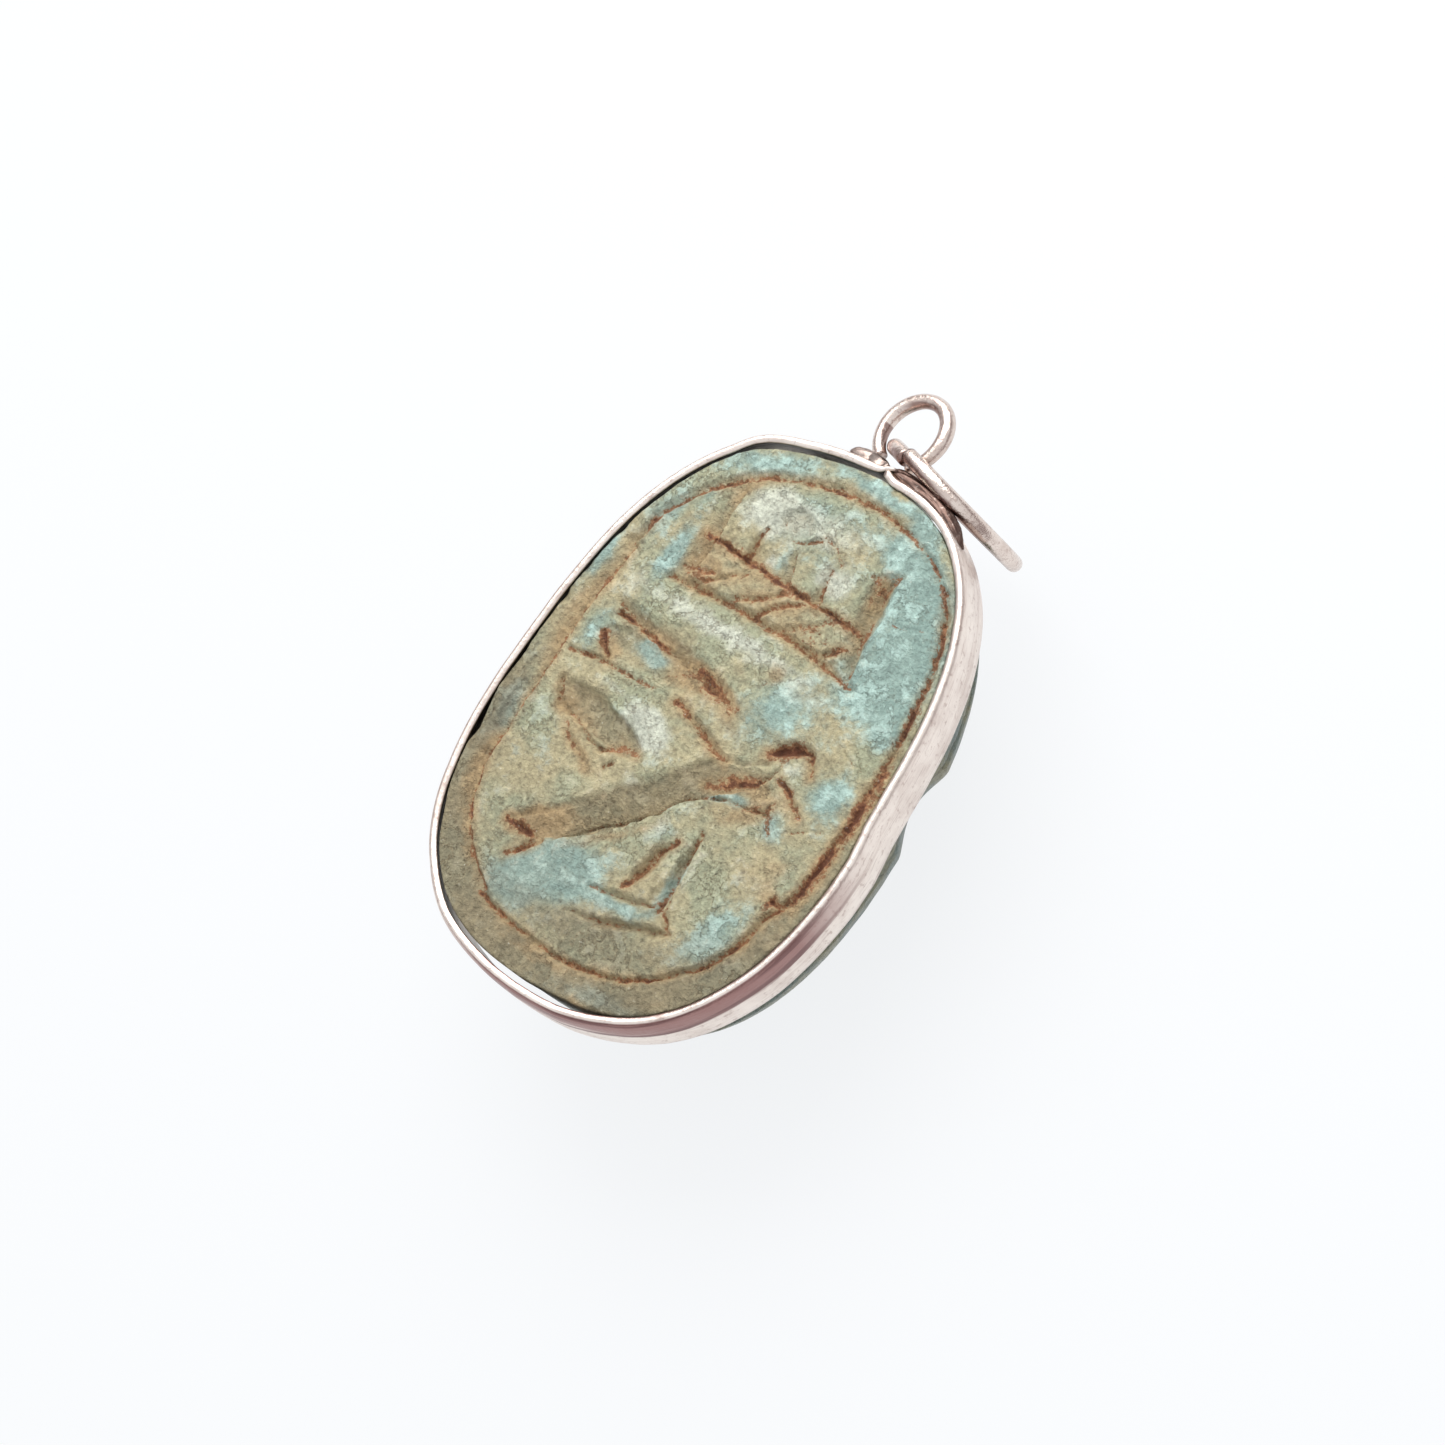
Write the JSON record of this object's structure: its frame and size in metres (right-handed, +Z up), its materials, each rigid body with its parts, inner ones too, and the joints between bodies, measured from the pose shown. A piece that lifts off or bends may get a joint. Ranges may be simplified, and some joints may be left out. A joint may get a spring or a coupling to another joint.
{
  "type": "scarab amulet pendant",
  "caption": "Carved glazed-stone scarab in a thin silver band with a wire suspension loop and jump ring, lying on its domed back.",
  "frame": {"origin": "middle of the small flat on the beetle's domed back that the amulet rests on", "axes": "+Z up, out of the carved base; +Y along the amulet towards the beetle's head and the suspension loop; +X to the right seen from above"},
  "size_m": [0.0204, 0.0323, 0.0108],
  "materials": {
    "glazed_stone": "worn turquoise glaze over beige stone, rust stain in the carving",
    "band_silver": "satin silver strip with fine scratches and a slight tarnish",
    "wire_silver": "smooth worn silver wire"
  },
  "bodies": {
    "root": {"scarab": "glazed_stone", "silver_band": "band_silver", "suspension_loop": "wire_silver", "jump_ring": "wire_silver"}
  },
  "joints": []
}
